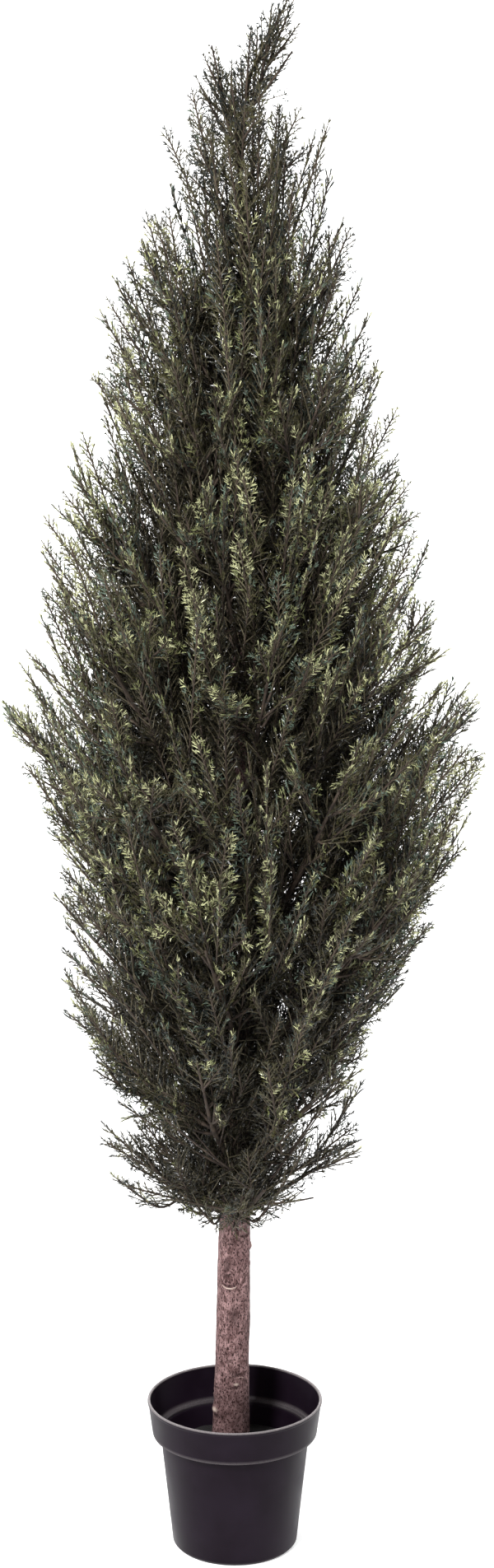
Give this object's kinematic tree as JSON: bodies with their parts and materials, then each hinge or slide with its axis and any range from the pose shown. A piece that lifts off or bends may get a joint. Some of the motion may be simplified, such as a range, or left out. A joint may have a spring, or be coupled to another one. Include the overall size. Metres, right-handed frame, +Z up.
{
  "type": "artificial italian cypress tree",
  "caption": "Slim flame-shaped artificial cypress with upswept needle sprays round a bark-covered trunk, standing in a weighted black plastic nursery pot.",
  "frame": {"origin": "on the floor under the middle of the pot's flat underside", "axes": "+Z up along the trunk, +X to the right and -Y towards the viewer, as the tree is seen from the front"},
  "size_m": [0.5409, 0.5091, 1.7986],
  "materials": {
    "pot_plastic": "satin black injection-moulded plastic, finely grained",
    "pot_fill": "rough dark cement weighting",
    "trunk_bark": "dry grey-brown bark with fine upright fissures and a few knots",
    "bough_bark": "dark brown wrapped stem",
    "foliage": "soft moulded needle sprays, dark green to olive"
  },
  "bodies": {
    "root": {"bough_tier1_1": "bough_bark", "bough_tier1_2": "bough_bark", "bough_tier1_3": "bough_bark", "bough_tier1_4": "bough_bark", "bough_tier1_5": "bough_bark", "bough_tier2_1": "bough_bark", "bough_tier2_2": "bough_bark", "bough_tier2_3": "bough_bark", "bough_tier2_4": "bough_bark", "bough_tier2_5": "bough_bark", "foliage_leader": "foliage", "foliage_tier1_1": "foliage", "foliage_tier1_2": "foliage", "foliage_tier1_3": "foliage", "foliage_tier1_4": "foliage", "foliage_tier1_5": "foliage", "foliage_tier2_1": "foliage", "foliage_tier2_2": "foliage", "foliage_tier2_3": "foliage", "foliage_tier2_4": "foliage", "foliage_tier2_5": "foliage", "foliage_tier3_1": "foliage", "foliage_tier3_2": "foliage", "foliage_tier3_3": "foliage", "foliage_tier3_4": "foliage", "foliage_tier3_5": "foliage", "foliage_tier3_6": "foliage", "foliage_tier4_1": "foliage", "foliage_tier4_2": "foliage", "foliage_tier4_3": "foliage", "foliage_tier4_4": "foliage", "foliage_tier4_5": "foliage", "foliage_tier4_6": "foliage", "foliage_tier5_1": "foliage", "foliage_tier5_2": "foliage", "foliage_tier5_3": "foliage", "foliage_tier5_4": "foliage", "foliage_tier5_5": "foliage", "foliage_tier5_6": "foliage", "foliage_tier6_1": "foliage", "foliage_tier6_2": "foliage", "foliage_tier6_3": "foliage", "foliage_tier6_4": "foliage", "foliage_tier6_5": "foliage", "foliage_tier6_6": "foliage", "foliage_tier7_1": "foliage", "foliage_tier7_2": "foliage", "foliage_tier7_3": "foliage", "foliage_tier7_4": "foliage", "foliage_tier7_5": "foliage", "foliage_tier8_1": "foliage", "foliage_tier8_2": "foliage", "foliage_tier8_3": "foliage", "foliage_tier8_4": "foliage", "pot": "pot_plastic", "pot_fill": "pot_fill", "trunk": "trunk_bark"}
  },
  "joints": []
}
